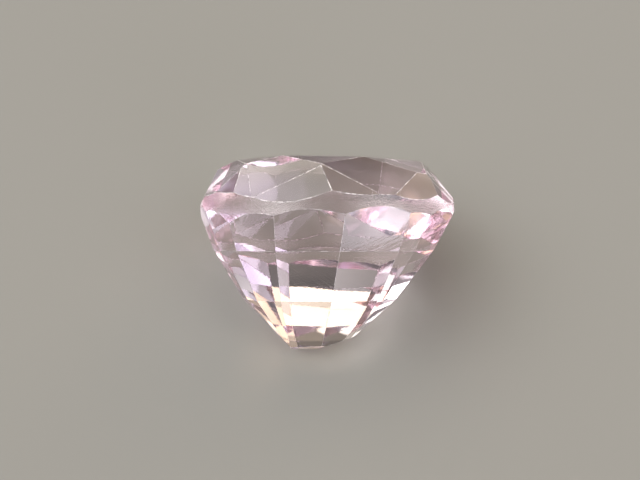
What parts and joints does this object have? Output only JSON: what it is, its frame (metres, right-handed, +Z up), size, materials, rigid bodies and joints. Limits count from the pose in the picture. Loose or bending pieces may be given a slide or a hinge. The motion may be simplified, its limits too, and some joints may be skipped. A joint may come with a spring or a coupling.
{
  "type": "faceted kunzite gemstone",
  "caption": "Loose oval kunzite, transparent pale pink, cut with a bright crown and a deep stepped pavilion, lying on one of its back facets.",
  "frame": {"origin": "middle of the bounding box, on the surface that the stone lies on", "axes": "+X along the stone's length, -Y towards the side from which the pavilion is seen, +Z up; the stone's own axis leans away towards +Y by the slope of the facet that it lies on, 56.3 degrees"},
  "size_m": [0.0136, 0.0106, 0.0102],
  "materials": {
    "kunzite": "transparent pale pink crystal with polished facets and a ground, sandy girdle"
  },
  "bodies": {
    "root": {"kunzite": "kunzite"}
  },
  "joints": []
}
